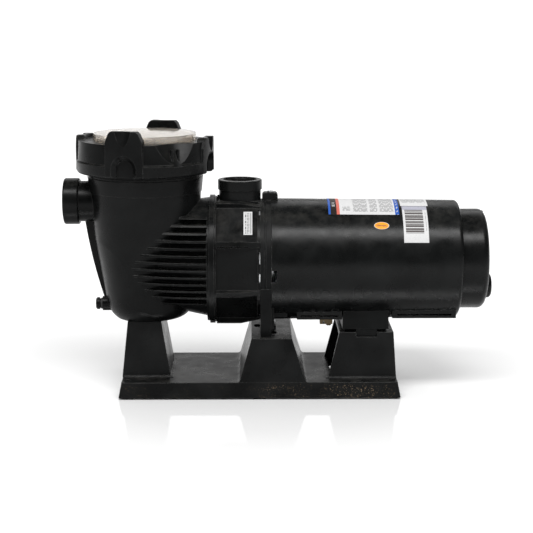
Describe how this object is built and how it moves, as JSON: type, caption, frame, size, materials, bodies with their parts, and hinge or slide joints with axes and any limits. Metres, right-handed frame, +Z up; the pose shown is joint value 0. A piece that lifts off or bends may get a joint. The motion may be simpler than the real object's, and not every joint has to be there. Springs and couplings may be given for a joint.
{
  "type": "pool pump",
  "caption": "Electric pool pump: strainer pot under a clear lid and lock ring, ribbed pump casing with side inlet and top outlet, shrouded motor, moulded base.",
  "frame": {"origin": "middle of the base's four bolt holes, at floor level", "axes": "+X along the shaft towards the motor's rear end, +Y to the left when looking along +X, +Z up"},
  "size_m": [0.5754, 0.184, 0.355],
  "materials": {
    "base_plastic": "moulded black, slightly dusty",
    "housing_plastic": "moulded black, satin",
    "shell_plastic": "moulded black, satin",
    "bracket_plastic": "moulded black, matte",
    "basket_plastic": "moulded light grey",
    "impeller_plastic": "glass-filled, dark grey",
    "lid_clear": "clear moulded, slightly smoky",
    "seal_rubber": "soft black",
    "bronze": "turned bronze",
    "brass": "dull brass",
    "stainless": "turned",
    "zinc_steel": "zinc plated",
    "bell_aluminium": "die cast",
    "frame_steel": "painted dark grey",
    "core_steel": "laminated",
    "copper_winding": "enamelled copper wire, varnished",
    "ceramic_seat": "lapped",
    "carbon": "moulded carbon",
    "capacitor_case": "moulded"
  },
  "bodies": {
    "frame": {"base": "base_plastic", "strainer_pot": "housing_plastic", "volute": "housing_plastic", "diffuser": "impeller_plastic", "wear_ring": "bronze", "seal_plate": "bell_aluminium", "case_seal": "seal_rubber", "seal_seat": "ceramic_seat", "seal_seat_boot": "seal_rubber", "bracket": "bracket_plastic", "bracket_bolts": "zinc_steel", "bracket_nuts": "brass", "top_screw": "zinc_steel", "front_end_bell": "bell_aluminium", "rear_end_bell": "bell_aluminium", "motor_frame": "frame_steel", "stator_core": "core_steel", "windings": "copper_winding", "tie_bolts": "zinc_steel", "front_bearing_outer": "stainless", "rear_bearing_outer": "stainless", "motor_shell": "shell_plastic", "end_cap": "shell_plastic", "cable_gland": "shell_plastic", "gland_nut": "bracket_plastic", "terminal_board": "bracket_plastic", "capacitor": "capacitor_case", "rear_saddle": "bracket_plastic", "saddle_screws": "zinc_steel", "bonding_lug": "brass", "bonding_screw": "brass"},
    "rotor": {"shaft": "stainless", "impeller": "impeller_plastic", "impeller_screw": "stainless", "seal_head": "carbon", "seal_spring": "stainless", "slinger": "seal_rubber", "rotor_core": "core_steel", "front_bearing_inner": "stainless", "rear_bearing_inner": "stainless", "cooling_fan": "impeller_plastic", "fan_clip": "zinc_steel"},
    "lid": {"lid_lens": "lid_clear", "lid_seal": "seal_rubber"},
    "ring": {"lock_ring": "housing_plastic"},
    "basket": {"strainer_basket": "basket_plastic"},
    "plug": {"drain_plug": "housing_plastic", "drain_seal": "seal_rubber"}
  },
  "joints": [
    {"name": "rotor_spin", "type": "hinge", "parent": "frame", "child": "rotor", "pos_m": [0, 0, 0.1745], "axis": [1, 0, 0], "continuous": true},
    {"name": "lid_lift", "type": "slide", "parent": "frame", "child": "lid", "axis": [0, 0, 1], "range_m": [0, 0.36]},
    {"name": "ring_twist", "type": "hinge", "parent": "lid", "child": "ring", "pos_m": [-0.1524, 0, 0.3], "axis": [0, 0, 1], "range_deg": [0, 60]},
    {"name": "basket_lift", "type": "slide", "parent": "frame", "child": "basket", "axis": [0, 0, 1], "range_m": [0, 0.18]},
    {"name": "drain_pull", "type": "slide", "parent": "frame", "child": "plug", "axis": [-1, 0, 0], "range_m": [0, 0.03]}
  ],
  "couplings": [
    {"joint": "basket_lift", "follows": "lid_lift", "ratio": 0.5}
  ]
}
